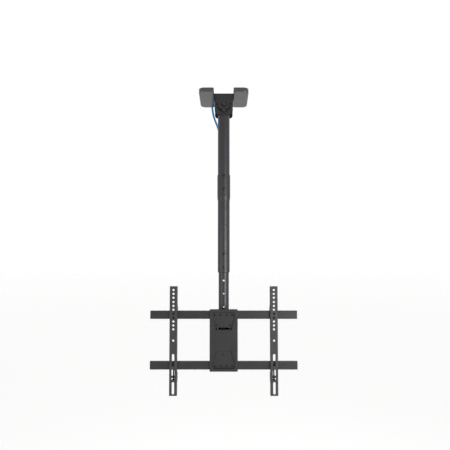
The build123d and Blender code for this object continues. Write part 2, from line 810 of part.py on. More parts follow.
def pad_outline(turn, grow):
    """Draw a pad: wide towards the plate's end (turn 1 up, -1 down) and narrow towards its middle."""
    with BuildLine() as outline:
        FilletPolyline(
            (-pad_wide - grow, turn * (pad_outer + grow)),
            (pad_wide + grow, turn * (pad_outer + grow)),
            (pad_wide + grow, turn * pad_shoulder),
            (pad_narrow + grow, turn * pad_waist),
            (pad_narrow + grow, turn * (pad_inner - grow)),
            (-pad_narrow - grow, turn * (pad_inner - grow)),
            (-pad_narrow - grow, turn * pad_waist),
            (-pad_wide - grow, turn * pad_shoulder),
            radius=pad_corner_r + grow,
            close=True,
        )
    make_face(outline.edges())


plate_front = Plane((0, plate_front_y, head_z), x_dir=(1, 0, 0), z_dir=(0, -1, 0))
with BuildPart() as head_plate:
    with BuildSketch(plate_front):
        RectangleRounded(plate_w, plate_h, plate_corner_r)
    extrude(amount=-plate_fold)
    fillet(head_plate.faces().sort_by(Axis.Y)[0].edges(), plate_edge_r)
    with BuildSketch(plate_front.offset(-plate_fold)):
        RectangleRounded(plate_w - 2 * head_sheet, plate_h - 2 * head_sheet, plate_corner_r - head_sheet)
    extrude(amount=plate_fold - head_sheet, mode=Mode.SUBTRACT)
    with BuildSketch(plate_front.offset(-head_sheet)):
        pad_outline(1, head_sheet)
        pad_outline(-1, head_sheet)
    extrude(amount=-pad_depth, taper=pad_draft)
    with BuildSketch(plate_front):
        pad_outline(1, 0)
        pad_outline(-1, 0)
    extrude(amount=-pad_depth, taper=pad_draft, mode=Mode.SUBTRACT)
    with BuildSketch(plate_front):
        with Locations((0, upper_slot_z - head_z)):
            RectangleRounded(2 * upper_slot_half, pad_slot_h, pad_slot_r)
        with Locations((0, -pad_outer + pad_slot_inset)):
            RectangleRounded(2 * (pad_wide - lower_slot_side), pad_slot_h, pad_slot_r)
        with Locations(*[(x, z - head_z) for x in rail_screw_xs for z in rail_zs]):
            Circle(m5_hole_r)
        with Locations(*[(x, z - head_z) for x, z in bracket_screws_at]):
            Circle(m5_hole_r)
    extrude(amount=-plate_fold, mode=Mode.SUBTRACT)
    with BuildSketch(plate_front.offset(-pad_depth - head_sheet + rail_notch_gap)):
        with GridLocations(plate_w, 2 * rail_offset, 2, 2):
            Rectangle(8 * head_sheet, 2 * (rail_half_h + rail_notch_gap))
    extrude(amount=-plate_fold, mode=Mode.SUBTRACT)

head_plate.part.label = "head_plate"
export_step(head_plate.part, "parts/head_plate.step")


# Rails: two long channels, open at the back.
def make_rail(z):
    """Build the rail at height z."""
    with BuildPart() as rail:
        with BuildSketch(Plane((0, pad_back_y, z), x_dir=(0, 0, 1), z_dir=(1, 0, 0))):
            channel_section(rail_half_h, rail_depth, head_sheet, rail_bend)
        extrude(amount=rail_half_l, both=True)
        with BuildSketch(Plane.XZ):
            with Locations(*[(x, z) for x in rail_screw_xs]):
                Circle(m5_hole_r)
        extrude(amount=2 * arm_x, both=True, mode=Mode.SUBTRACT)
    return rail


upper_rail = make_rail(rail_zs[0])
upper_rail.part.label = "upper_rail"
export_step(upper_rail.part, "parts/upper_rail.step")

lower_rail = make_rail(rail_zs[1])
lower_rail.part.label = "lower_rail"
export_step(lower_rail.part, "parts/lower_rail.step")

# Screws through the pads: eight hold the rails, three hold the tilt bracket, each with a nut.
rail_grip = 2 * head_sheet + m5_nut + screw_tail
bracket_grip = head_sheet + plate_sheet + m5_nut + screw_tail
with BuildPart() as rail_screws:
    for z in rail_zs:
        for x in rail_screw_xs:
            domed_screw(front_seat(x, pad_front_y, z), m5_dome_r, m5_dome_h, m5_r, rail_grip, m5_drive_r)

rail_screws.part.label = "rail_screws"
export_step(rail_screws.part, "parts/rail_screws.step")

with BuildPart() as rail_nuts:
    for z in rail_zs:
        for x in rail_screw_xs:
            hex_nut(back_seat(x, pad_back_y + head_sheet, z), m5_flats, m5_nut, m5_r)

rail_nuts.part.label = "rail_nuts"
export_step(rail_nuts.part, "parts/rail_nuts.step")

with BuildPart() as bracket_screws:
    for x, z in bracket_screws_at:
        domed_screw(front_seat(x, pad_front_y, z), m5_dome_r, m5_dome_h, m5_r, bracket_grip, m5_drive_r)

bracket_screws.part.label = "bracket_screws"
export_step(bracket_screws.part, "parts/bracket_screws.step")

with BuildPart() as bracket_nuts:
    for x, z in bracket_screws_at:
        hex_nut(back_seat(x, pad_back_y + plate_sheet, z), m5_flats, m5_nut, m5_r)

bracket_nuts.part.label = "bracket_nuts"
export_step(bracket_nuts.part, "parts/bracket_nuts.step")


# Arms: channels open at the back, whose folds end a hair in front of the rails. They carry a
# hook over the upper rail and, below the lower one, a block whose screw locks the arm.
rail_front_y = pad_back_y
rail_back_y = rail_front_y + rail_depth
arm_top_z = head_z + arm_l / 2
arm_foot_z = head_z - arm_l / 2
first_hole_z = head_z + arm_top_hole
finger_y = rail_back_y + hook_gap
hook_back_y = finger_y + hook_t
upper_top_z = rail_zs[0] + rail_half_h
lower_foot_z = rail_zs[1] - rail_half_h
lock_y = (rail_front_y + rail_back_y) / 2
lock_block_z = lower_foot_z - lock_block_drop
lock_head_z = lower_foot_z - lock_head_drop
lug_top_z = lower_foot_z - lug_drop
lug_back_y = rail_back_y + lug_lip
lug_foot_z = lock_block_z - lock_block_t - lug_foot
fold_y = rail_front_y - hook_gap
arm_hole_zs = [first_hole_z - step * arm_hole_pitch for step in range(arm_hole_count)]
lower_holes = slice(arm_jog_count, None)
arm_hole_zs[lower_holes] = [z - arm_hole_jog for z in arm_hole_zs[lower_holes]]
arm_hole_zs.append(head_z)


def make_arm(x):
    """Build the arm whose middle line is at x."""
    with BuildPart() as arm:
        with BuildSketch(Plane((x, arm_front_y, arm_top_z), x_dir=(-1, 0, 0), z_dir=(0, 0, 1))):
            channel_section(arm_w / 2, hook_back_y - arm_front_y, arm_sheet, arm_bend)
        extrude(amount=-arm_l)
        with BuildSketch(Plane((x, 0, 0), x_dir=(0, 1, 0), z_dir=(1, 0, 0))):
            with BuildLine():
                Polyline(
                    (arm_front_y, arm_top_z),
                    (fold_y, arm_top_z),
                    (fold_y, upper_top_z + hook_rise + hook_slope),
                    (hook_back_y, upper_top_z + hook_rise),
                    (hook_back_y, upper_top_z - hook_drop),
                    (finger_y, upper_top_z - hook_drop),
                    (finger_y, upper_top_z + hook_gap),
                    (fold_y, upper_top_z + hook_gap),
                    (fold_y, lug_top_z),
                    (lug_back_y, lug_top_z),
                    (lug_back_y, lug_foot_z),
                    (fold_y, lug_foot_z - lug_slope),
                    (fold_y, arm_foot_z),
                    (arm_front_y, arm_foot_z),
                    close=True,
                )
            make_face()
        extrude(amount=arm_w, both=True, mode=Mode.INTERSECT)
        with BuildSketch(Plane((x, 0, 0), x_dir=(1, 0, 0), z_dir=(0, -1, 0))):
            with Locations(*[(0, z) for z in arm_hole_zs]):
                Circle(arm_hole_r)
            for middle, length, width in arm_slots:
                with Locations((0, head_z + middle)):
                    SlotOverall(length, width, rotation=90)
        extrude(amount=2 * arm_x, both=True, mode=Mode.SUBTRACT)
    return arm


def make_lock_block(x):
    """Build the tapped block between an arm's folds."""
    with BuildPart() as block:
        with BuildSketch(Plane((x, lock_y, lock_block_z))):
            Rectangle(arm_w - 2 * arm_sheet, lock_block_w)
            Circle(m6_r, mode=Mode.SUBTRACT)
        extrude(amount=-lock_block_t)
    return block


def make_lock_screw(x):
    """Build the screw that rises through the block to just under the lower rail."""
    seat = Plane((x, lock_y, lock_head_z), x_dir=(1, 0, 0), z_dir=(0, 0, -1))
    with BuildPart() as screw:
        domed_screw(seat, lock_head_r, lock_head_h, m6_r, lower_foot_z - hook_gap - lock_head_z, m6_drive_r)
    return screw


left_arm = make_arm(-arm_x)
left_arm.part.label = "left_arm"
export_step(left_arm.part, "parts/left_arm.step")

left_lock_block = make_lock_block(-arm_x)
left_lock_block.part.label = "left_lock_block"
export_step(left_lock_block.part, "parts/left_lock_block.step")

left_lock_screw = make_lock_screw(-arm_x)
left_lock_screw.part.label = "left_lock_screw"
export_step(left_lock_screw.part, "parts/left_lock_screw.step")

right_arm = make_arm(arm_x)
right_arm.part.label = "right_arm"
export_step(right_arm.part, "parts/right_arm.step")

right_lock_block = make_lock_block(arm_x)
right_lock_block.part.label = "right_lock_block"
export_step(right_lock_block.part, "parts/right_lock_block.step")

right_lock_screw = make_lock_screw(arm_x)
right_lock_screw.part.label = "right_lock_screw"
export_step(right_lock_screw.part, "parts/right_lock_screw.step")


# Cable: straight runs joined by arcs, each as wide as its neighbours allow.
def bend_radii(route):
    """Radius at each inner point: 0.45 of the shorter run over the tangent of half the turn."""
    radii = []
    for before, point, after in zip(route, route[1:], route[2:]):
        run_in = Vector(*point) - Vector(*before)
        run_out = Vector(*after) - Vector(*point)
        half_turn = math.radians(run_in.get_angle(run_out)) / 2
        radii.append(0.45 * min(run_in.length, run_out.length) / math.tan(half_turn))
    return radii


cable_radii = bend_radii(cable_route)
print("cable bend radii, mm:", [round(radius, 1) for radius in cable_radii])
with BuildPart() as cable:
    with BuildLine() as cable_path:
        FilletPolyline(*cable_route, radius=cable_radii)
    with BuildSketch(cable_path.line ^ 0):
        Circle(cable_r)
    sweep(path=cable_path.line)

cable_length = sum(edge.length for edge in cable_path.edges())
print("cable length, mm:", round(cable_length, 1))
print("cable volume over section times length:", cable.part.volume / (math.pi * cable_r**2 * cable_length))
cable.part.label = "cable"
export_step(cable.part, "parts/cable.step")

# Cable plug: a moulded grip with a strain relief above it and a metal shell below it.
grip_x = cable_in_x + grip_shift
grip_top_z = cable_end_z - relief_l
shell_top_z = grip_top_z - grip_l
with BuildPart() as cable_plug:
    with BuildSketch(Plane((cable_in_x, 0, cable_end_z))):
        Circle(cable_r + relief_wall)
    extrude(amount=-relief_l)
    with BuildSketch(Plane((grip_x, 0, grip_top_z))):
        RectangleRounded(grip_w, grip_t, grip_corner_r)
    extrude(amount=-grip_l)
    with BuildSketch(Plane((grip_x, 0, shell_top_z))):
        RectangleRounded(shell_w, shell_t, shell_corner_r)
    extrude(amount=-shell_l)

cable_plug.part.label = "cable_plug"
export_step(cable_plug.part, "parts/cable_plug.step")
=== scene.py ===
"""Looks of a telescopic ceiling mount, dressed on its solids.

The mount hangs from the plane Z = 0. Sizes are in metres, X is to the right and the front is -Y.
Each section holds one piece, or one group of like pieces.
"""

import math

import bmesh
import bpy
import numpy as np
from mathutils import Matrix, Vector


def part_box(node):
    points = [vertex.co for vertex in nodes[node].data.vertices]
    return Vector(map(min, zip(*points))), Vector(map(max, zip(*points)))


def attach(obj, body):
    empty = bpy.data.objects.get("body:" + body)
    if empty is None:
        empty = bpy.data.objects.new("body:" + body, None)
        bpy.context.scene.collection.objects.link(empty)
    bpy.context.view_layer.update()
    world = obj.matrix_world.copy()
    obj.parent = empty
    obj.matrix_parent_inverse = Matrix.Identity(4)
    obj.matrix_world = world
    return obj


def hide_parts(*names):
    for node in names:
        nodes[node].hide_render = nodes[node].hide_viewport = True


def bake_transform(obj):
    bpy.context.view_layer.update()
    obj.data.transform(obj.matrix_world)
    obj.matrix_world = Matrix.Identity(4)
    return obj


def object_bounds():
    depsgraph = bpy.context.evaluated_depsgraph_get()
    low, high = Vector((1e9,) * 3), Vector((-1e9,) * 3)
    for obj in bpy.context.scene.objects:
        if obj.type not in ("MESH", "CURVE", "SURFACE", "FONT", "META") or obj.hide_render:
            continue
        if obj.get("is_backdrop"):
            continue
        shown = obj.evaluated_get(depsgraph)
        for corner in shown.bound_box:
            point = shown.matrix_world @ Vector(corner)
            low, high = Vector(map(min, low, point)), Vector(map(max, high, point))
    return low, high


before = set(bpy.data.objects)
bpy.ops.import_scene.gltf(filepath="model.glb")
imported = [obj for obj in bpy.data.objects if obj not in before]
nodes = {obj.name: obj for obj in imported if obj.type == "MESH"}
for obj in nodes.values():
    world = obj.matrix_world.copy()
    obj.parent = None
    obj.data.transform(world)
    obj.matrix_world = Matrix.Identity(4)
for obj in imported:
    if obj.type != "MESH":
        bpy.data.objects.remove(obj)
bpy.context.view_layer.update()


# Camera: a standing eye in front of the mount and well below its top, a little right of the pole
# and tipped up by three degrees. The picture is square.
picture_px = 450
focal_px = 393.0
drop_px = 19.4
camera_data = bpy.data.cameras.new("camera")
camera_data.sensor_width = 36.0
camera_data.lens = camera_data.sensor_width * focal_px / picture_px
camera_data.shift_y = drop_px / picture_px
camera = bpy.data.objects.new("camera", camera_data)
camera.location = (0.0053, -1.6493, -0.7236)
camera.rotation_euler = (math.radians(93.0), 0.0, 0.0)
bpy.context.scene.collection.objects.link(camera)
bpy.context.scene.camera = camera
bpy.context.scene.view_settings.view_transform = "Standard"


# Room: white walls all round that light the mount evenly and are dim overhead. The eye sees plain
# white behind the mount, and so do gloss and glass.
def larger(tree, first, second):
    """The larger of two levels."""
    either = tree.nodes.new("ShaderNodeMath")
    either.operation = "MAXIMUM"
    tree.links.new(first, either.inputs[0])
    tree.links.new(second, either.inputs[1])
    return either.outputs[0]


def showing(tree):
    """1 on the rays of the eye, of gloss and of glass, which show the background, and 0 on others."""
    rays = tree.nodes.new("ShaderNodeLightPath").outputs
    eye_or_gloss = larger(tree, rays["Is Camera Ray"], rays["Is Glossy Ray"])
    return larger(tree, eye_or_gloss, rays["Is Transmission Ray"])


def slope(tree, value, start, stop, low, high):
    """Level that runs from low to high while the value goes from start to stop, and is even beyond."""
    ramp = tree.nodes.new("ShaderNodeMapRange")
    ramp.inputs["From Min"].default_value = start
    ramp.inputs["From Max"].default_value = stop
    ramp.inputs["To Min"].default_value = low
    ramp.inputs["To Max"].default_value = high
    tree.links.new(value, ramp.inputs["Value"])
    return ramp


wall_light = 1.0
overhead_light = 0.06
overhead_start = 0.15
overhead_full = 0.75
studio = bpy.data.worlds.new("studio")
bpy.context.scene.world = studio
studio.use_nodes = True
room = studio.node_tree
heading = room.nodes.new("ShaderNodeTexCoord")
rise = room.nodes.new("ShaderNodeSeparateXYZ")
room.links.new(heading.outputs["Generated"], rise.inputs["Vector"])
overhead = slope(room, rise.outputs["Z"], overhead_start, overhead_full, wall_light, overhead_light)
overhead.interpolation_type = "SMOOTHSTEP"
background = room.nodes["Background"]
background.inputs["Color"].default_value = (1.0, 1.0, 1.0, 1.0)
room.links.new(larger(room, showing(room), overhead.outputs["Result"]), background.inputs["Strength"])


# Soft boxes: two broad lamps a little below the eye. The right one is the stronger, and each draws
# a soft stripe down the tubes.
def soft_box(name, place, aim, watts):
    """Soft lamp at a place, turned to its aim."""
    light = bpy.data.lights.new(name, "AREA")
    light.shape = "RECTANGLE"
    light.size = box_width
    light.size_y = box_height
    light.energy = watts
    lamp = bpy.data.objects.new(name, light)
    lamp.location = place
    lamp.rotation_euler = (aim - place).to_track_quat("-Z", "Y").to_euler()
    bpy.context.scene.collection.objects.link(lamp)


box_width = 0.8
box_height = 1.3
soft_box("right_box", Vector((1.2, -1.6, -0.82)), Vector((0.0, 0.0, -0.7)), 32.0)
soft_box("left_box", Vector((-1.5, -1.3, -0.9)), Vector((0.0, 0.0, -0.8)), 9.0)


# Floor: the pale floor of the room, well below the head. Its own glow lifts it to the white of the
# walls, and the light and the mount's soft shadow lie on top of that.
floor_z = -2.3
floor_reach = 60.0
floor_glow = 0.66
floor_mesh = bpy.data.meshes.new("floor")
floor_mesh.from_pydata(
    [(x * floor_reach, y * floor_reach, floor_z) for x, y in ((-1, -1), (1, -1), (1, 1), (-1, 1))],
    [],
    [(0, 1, 2, 3)],
)
floor = bpy.data.objects.new("floor", floor_mesh)
bpy.context.scene.collection.objects.link(floor)
floor_paint = bpy.data.materials.new("floor_paint")
floor_paint.use_nodes = True
floor_tree = floor_paint.node_tree
floor_shader = floor_tree.nodes["Principled BSDF"]
floor_shader.inputs["Base Color"].default_value = (0.9, 0.9, 0.89, 1.0)
floor_shader.inputs["Roughness"].default_value = 0.8
floor_shader.inputs["Emission Color"].default_value = (1.0, 1.0, 1.0, 1.0)
glow = floor_tree.nodes.new("ShaderNodeMath")
glow.operation = "MULTIPLY"
glow.inputs[1].default_value = floor_glow
floor_tree.links.new(showing(floor_tree), glow.inputs[0])
floor_tree.links.new(glow.outputs[0], floor_shader.inputs["Emission Strength"])
floor_mesh.materials.append(floor_paint)
floor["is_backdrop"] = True


# Ceiling plate: one blank of 3 mm steel sheet, punched, folded into a crown with two cheeks, and
# powder coated matt black. The coat flows to a fine orange peel and rounds every cut edge. Between
# the cheeks, where little powder reaches, it is dull.
def bare_material(name):
    """New material, with its node tree, its shader and the point's place on the piece."""
    material = bpy.data.materials.new(name)
    material.use_nodes = True
    tree = material.node_tree
    place = tree.nodes.new("ShaderNodeTexCoord").outputs["Object"]
    return material, tree, tree.nodes["Principled BSDF"], place


def clouds(tree, place, scale, detail):
    """Field of soft lumps, about scale of them to a metre, broken up detail times into finer ones."""
    noise = tree.nodes.new("ShaderNodeTexNoise")
    noise.inputs["Scale"].default_value = scale
    noise.inputs["Detail"].default_value = detail
    tree.links.new(place, noise.inputs["Vector"])
    return noise.outputs["Fac"]


def shaded(tone, share):
    """Tone times a share, to make it darker or lighter."""
    return tuple(share * channel for channel in tone)


def two_shades(tree, shader, field, start, dark, stop, light):
    """Colour that goes from dark to light while the field goes from start to stop."""
    shades = tree.nodes.new("ShaderNodeValToRGB")
    ends = shades.color_ramp.elements
    ends[0].position = start
    ends[0].color = (*dark, 1.0)
    ends[1].position = stop
    ends[1].color = (*light, 1.0)
    tree.links.new(field, shades.inputs["Fac"])
    tree.links.new(shades.outputs["Color"], shader.inputs["Base Color"])


def raised(tree, shader, field, strength, depth):
    """Bumps in the shader's surface: the field times depth high, at a strength."""
    skin = tree.nodes.new("ShaderNodeBump")
    skin.inputs["Strength"].default_value = strength
    skin.inputs["Distance"].default_value = depth
    tree.links.new(field, skin.inputs["Height"])
    tree.links.new(skin.outputs["Normal"], shader.inputs["Normal"])
    return skin


def powder_coat(name, tone, peel, smooth, rough, shine):
    """Baked coat: cloudy colour around tone, gloss that wanders between smooth and rough, bumps of
    width peel, soft edges, and reflections of strength shine."""
    material, tree, shader, place = bare_material(name)
    shader.inputs["Specular IOR Level"].default_value = shine
    cloud = clouds(tree, place, scale=22.0, detail=5.0)
    two_shades(tree, shader, cloud, 0.3, shaded(tone, 0.8), 0.7, shaded(tone, 1.2))
    haze = clouds(tree, place, scale=140.0, detail=3.0)
    gloss = slope(tree, haze, 0.3, 0.7, smooth, rough)
    tree.links.new(gloss.outputs["Result"], shader.inputs["Roughness"])
    edges = tree.nodes.new("ShaderNodeBevel")
    edges.samples = 6
    edges.inputs["Radius"].default_value = edge_round
    bumps = clouds(tree, place, scale=1.0 / peel, detail=2.0)
    skin = raised(tree, shader, bumps, strength=0.3, depth=0.08 * peel)
    tree.links.new(edges.outputs["Normal"], skin.inputs["Normal"])
    return material


def dull_within(material, axis, reach, fade):
    """Coat that is dull where the point is nearer than reach to zero on an axis, on either side, and
    takes its own gloss again over the length fade beyond."""
    tree = material.node_tree
    finish = tree.nodes["Principled BSDF"].inputs["Roughness"]
    gloss = finish.links[0].from_socket
    place = tree.nodes.new("ShaderNodeTexCoord")
    parts = tree.nodes.new("ShaderNodeSeparateXYZ")
    tree.links.new(place.outputs["Object"], parts.inputs["Vector"])
    distance = tree.nodes.new("ShaderNodeMath")
    distance.operation = "ABSOLUTE"
    tree.links.new(parts.outputs[axis], distance.inputs[0])
    dull = slope(tree, distance.outputs[0], reach + fade, reach, 0.0, dull_rough)
    tree.links.new(larger(tree, gloss, dull.outputs["Result"]), finish)


def dress(material, *names):
    """Give the solids of these names one material."""
    for name in names:
        nodes[name].data.materials.clear()
        nodes[name].data.materials.append(material)


sheet_tone = (0.0085, 0.0085, 0.0092)
sheet_peel = 0.0009
edge_round = 0.0005
dull_rough = 0.95
cheek_inner_y = 0.0257
dull_margin = 0.0003
plate_coat = powder_coat("plate_coat", sheet_tone, sheet_peel, smooth=0.36, rough=0.46, shine=0.4)
dull_within(plate_coat, "Y", cheek_inner_y + dull_margin, 2 * dull_margin)
dress(plate_coat, "ceiling_plate")


# Covers: two trays moulded in black plastic, pressed on to the plate's wings by their posts. The
# mould is spark eroded, which leaves an even, fine, pebbled grain.
def grained_plastic(name, tone, grain, smooth, rough, shine):
    """Moulded plastic: even colour with faint flow clouds, pebbles of width grain, a surface between
    smooth on their tops and rough in the valleys, and reflections of strength shine."""
    material, tree, shader, place = bare_material(name)
    shader.inputs["Specular IOR Level"].default_value = shine
    flow = clouds(tree, place, scale=9.0, detail=3.0)
    two_shades(tree, shader, flow, 0.35, shaded(tone, 0.88), 0.65, shaded(tone, 1.12))
    pebbles = tree.nodes.new("ShaderNodeTexVoronoi")
    pebbles.inputs["Scale"].default_value = 1.0 / grain
    tree.links.new(place, pebbles.inputs["Vector"])
    polish = slope(tree, pebbles.outputs["Distance"], 0.0, 1.0, smooth, rough)
    tree.links.new(polish.outputs["Result"], shader.inputs["Roughness"])
    skin = raised(tree, shader, pebbles.outputs["Distance"], strength=0.1, depth=0.06 * grain)
    skin.invert = True
    return material


cover_tone = (0.011, 0.011, 0.0115)
cover_plastic = grained_plastic("cover_plastic", cover_tone, grain=0.0005, smooth=0.2, rough=0.28, shine=0.9)
dress(cover_plastic, "left_cover", "right_cover")


# Hinge bolts: two M8 hexagon bolts through both cheeks, standing on a corner, with chamfered and
# faintly dished heads and a rolled thread at the far end. They are plated in dark zinc.
def plated_steel(name, dark, light):
    """Plated steel: metal whose colour and gloss drift between dark and light in fine specks."""
    material, tree, shader, place = bare_material(name)
    shader.inputs["Metallic"].default_value = 1.0
    specks = clouds(tree, place, scale=420.0, detail=4.0)
    two_shades(tree, shader, specks, 0.3, dark, 0.7, light)
    gloss = slope(tree, specks, 0.0, 1.0, 0.2, 0.42)
    tree.links.new(gloss.outputs["Result"], shader.inputs["Roughness"])
    raised(tree, shader, specks, strength=0.12, depth=0.00005)
    return material


def full_turn(sides):
    """Angles of one turn in equal steps."""
    return np.linspace(0.0, 2 * math.pi, sides, endpoint=False)


def box_of(node):
    """Lowest and highest corner of a solid."""
    return (np.array(corner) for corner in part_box(node))


def rings_round(along, middle, radius, height):
    """Points round an axis: middle moved by height along it and by radius out, over one turn."""
    across, up = [axis for axis in range(3) if axis != along]
    radius, height = np.broadcast_arrays(radius, height)
    points = np.empty((*radius.shape, 3))
    points[..., along] = middle[along] + height
    points[..., across] = middle[across] + radius * np.cos(turn)
    points[..., up] = middle[up] + radius * np.sin(turn)
    return points


def closed_mesh(name, *stacks, ring=False):
    """Mesh of stacks of rings: quads join ring to ring, and the ends close in fans or, for a ring,
    on each other."""
    points = []
    faces = []
    start = 0
    for stack in stacks:
        rows, columns = stack.shape[:2]
        here = start + np.arange(rows * columns).reshape(rows, columns)
        beside = np.roll(here, -1, axis=1)
        below = np.roll(np.arange(rows), -1)
        quads = np.stack([here, beside, beside[below], here[below]], axis=-1)
        if ring:
            faces += quads.reshape(-1, 4).tolist()
            ends = np.empty((0, 3))
        else:
            faces += quads[:-1].reshape(-1, 4).tolist()
            ends = stack[[0, -1]].mean(axis=1)
            tip = start + rows * columns
            faces += np.stack([np.full(columns, tip), beside[0], here[0]], axis=-1).tolist()
            faces += np.stack([np.full(columns, tip + 1), here[-1], beside[-1]], axis=-1).tolist()
        points += [stack.reshape(-1, 3), ends]
        start += rows * columns + len(ends)
    mesh = bpy.data.meshes.new(name)
    mesh.from_pydata(np.concatenate(points).tolist(), [], faces)
    shell = bmesh.new()
    shell.from_mesh(mesh)
    bmesh.ops.recalc_face_normals(shell, faces=shell.faces)
    shell.to_mesh(mesh)
    shell.free()
    mesh.shade_smooth()
    mesh.set_sharp_from_angle(angle=sharp_angle)
    piece = bpy.data.objects.new(name, mesh)
    bpy.context.scene.collection.objects.link(piece)
    return piece


def hexagon(flats, corner):
    """Distance from the middle to the edge: half the flats over the cosine of the angle from the
    nearest flat, with one corner at the angle corner."""
    return flats / 2 / np.cos((turn - corner) % (math.pi / 3) - math.pi / 6)


def corner_cut(edge):
    """Depth of the cone that cuts the corners: the edge's reach past the rim, times its slope."""
    return (edge - head_rim) * math.tan(chamfer_angle)


def thread(crest, depth, pitch, start, stop):
    """Rows of a thread: the radius falls and rises once a pitch, later by the share of a turn."""
    rows = int(rows_to_pitch * abs(stop - start) / pitch) + 1
    height = np.linspace(start, stop, rows)[:, None]
    groove = 1 - np.abs(2 * ((height / pitch - turn / (2 * math.pi)) % 1.0) - 1)
    return crest - depth * groove, height + 0 * turn


def rows_of(*pairs):
    """Rows of radius and height, one pair each, made as wide as the turn."""
    radius = np.stack([pair[0] + 0 * turn for pair in pairs])
    height = np.stack([pair[1] + 0 * turn for pair in pairs])
    return radius, height


def joined(*stretches):
    """Rows of radius and height of several stretches, one after the other."""
    return [np.concatenate(rows) for rows in zip(*stretches)]


def fasten(piece, material, node, body):
    """Dress a fastener and put it in its node's place on a body."""
    piece.data.materials.append(material)
    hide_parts(node)
    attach(piece, body)


def hex_bolt(name, node, body, corner):
    """Bolt in a node's place, its head at the low end of the node's long side: a dished end, a cone
    that cuts the corners, six flats, a plain shank, then the thread and a bevelled tip."""
    low, high = box_of(node)
    along = int(np.argmax(high - low))
    edge = hexagon(bolt_flats, corner)
    head = rows_of(
        (0.3 * head_rim, head_dish),
        (0.75 * head_rim, 0.7 * head_dish),
        (0.9 * head_rim, 0.0),
        (head_rim, 0.0),
        (edge, corner_cut(edge)),
        (edge, bolt_head - edge_break),
        (edge - edge_break, bolt_head),
        (bolt_shank, bolt_head),
    )
    reach = high[along] - low[along]
    tip_start = reach - tip_bevel
    grooves = thread(bolt_shank, thread_depth, bolt_pitch, reach - thread_length, tip_start)
    tip = rows_of((bolt_shank - thread_depth, tip_start), (bolt_shank - tip_cut, reach))
    middle = (low + high) / 2
    middle[along] = low[along]
    bolt = closed_mesh(name, rings_round(along, middle, *joined(head, grooves, tip)))
    fasten(bolt, bolt_zinc, node, body)


turn = full_turn(48)
sharp_angle = math.radians(28.0)
chamfer_angle = math.radians(30.0)
bolt_flats = 0.013
bolt_head = 0.0053
head_rim = 0.0061
head_dish = 0.0004
edge_break = 0.0002
bolt_shank = 0.004
bolt_pitch = 0.00125
rows_to_pitch = 8
thread_depth = 0.00065
thread_length = 0.0125
tip_bevel = 0.001
tip_cut = 1.6 * thread_depth
bolt_zinc = plated_steel("bolt_zinc", (0.033, 0.032, 0.033), (0.072, 0.071, 0.07))
corner_up = math.pi / 2
hex_bolt("pivot_hex_bolt", "pivot_bolt", "ceiling", corner_up)
hex_bolt("lock_hex_bolt", "lock_bolt", "pole", corner_up)


# Hinge nuts: plain M8 nuts behind the back cheek, of the same steel and zinc as the bolts. They are
# chamfered on both faces and in the bore.
def hex_nut(name, node, body, along, places, corner):
    """Nuts at places along an axis: a ring whose section runs up the bore, out over a face, down
    the six flats and back under, with a cone that cuts the corners at both faces."""
    edge = hexagon(bolt_flats, corner)
    cut = corner_cut(edge)
    radius, height = rows_of(
        (bolt_shank, bore_bevel),
        (bolt_shank + bore_bevel, 0.0),
        (head_rim, 0.0),
        (edge, cut),
        (edge, nut_height - cut),
        (head_rim, nut_height),
        (bolt_shank + bore_bevel, nut_height),
        (bolt_shank, nut_height - bore_bevel),
    )
    nut = closed_mesh(name, *(rings_round(along, place, radius, height) for place in places), ring=True)
    fasten(nut, bolt_zinc, node, body)


nut_height = 0.0065
bore_bevel = 0.0007
for name, node, body in (("pivot_hex_nut", "pivot_nut", "ceiling"), ("lock_hex_nut", "lock_nut", "pole")):
    low, high = box_of(node)
    seat = (low + high) / 2
    seat[1] = low[1]
    hex_nut(name, node, body, 1, [seat], corner_up)


# Hinge washers: thick rings punched from black nylon, under the heads and the nuts. The coated
# cheeks turn on them without rubbing through.
nylon_tone = (0.005, 0.005, 0.0055)
nylon = grained_plastic("black_nylon", nylon_tone, grain=0.0004, smooth=0.6, rough=0.8, shine=0.25)
dress(nylon, "pivot_washers", "lock_washers")


# Sleeves: steel spacers through the upper tube, one on each hinge bolt, which keep the bolts from
# crushing it. They are turned and plated in bright zinc.
sleeve_zinc = plated_steel("sleeve_zinc", (0.42, 0.42, 0.43), (0.58, 0.58, 0.57))
dress(sleeve_zinc, "pivot_sleeve", "lock_sleeve")


# Upper tube: drawn steel tube with a black coat like the plate's, a shade bluer. Between the cheeks,
# where the hinge rubs on it, the coat is dull.
tube_tone = (0.0088, 0.0092, 0.0135)
tube_peel = 0.0011
hinge_rub = 0.088
rub_fade = 0.006
upper_coat = powder_coat("upper_coat", tube_tone, tube_peel, smooth=0.36, rough=0.46, shine=0.5)
dull_within(upper_coat, "Z", hinge_rub, rub_fade)
dress(upper_coat, "upper_tube")


# Middle tube: the same tube, coated, with its top swaged out into a socket for the upper tube's end.
# It is the wide one of the telescope.
tube_coat = powder_coat("tube_coat", tube_tone, tube_peel, smooth=0.36, rough=0.46, shine=0.5)
dress(tube_coat, "middle_tube")


# Coupling screws: domed M8 screws of dark plated steel with a six-sided drive. They go through the
# socket into nuts that are welded inside the upper tube.
screw_zinc = plated_steel("screw_zinc", (0.02, 0.02, 0.021), (0.045, 0.044, 0.043))
dress(screw_zinc, "coupling_screws", "coupling_nuts")


# Guide bush: a sleeve moulded in smooth black plastic and set in the middle tube's lower end. The
# drop tube slides in it.
bush_tone = (0.009, 0.009, 0.0095)
bush_plastic = grained_plastic("bush_plastic", bush_tone, grain=0.0003, smooth=0.3, rough=0.4, shine=0.5)
dress(bush_plastic, "guide_bush")


# Height screws: domed M6 screws of the same plated steel, in the middle tube's front. They hold the
# drop tube at its height, and are drawn back here so that it can slide.
dress(screw_zinc, "height_screws")


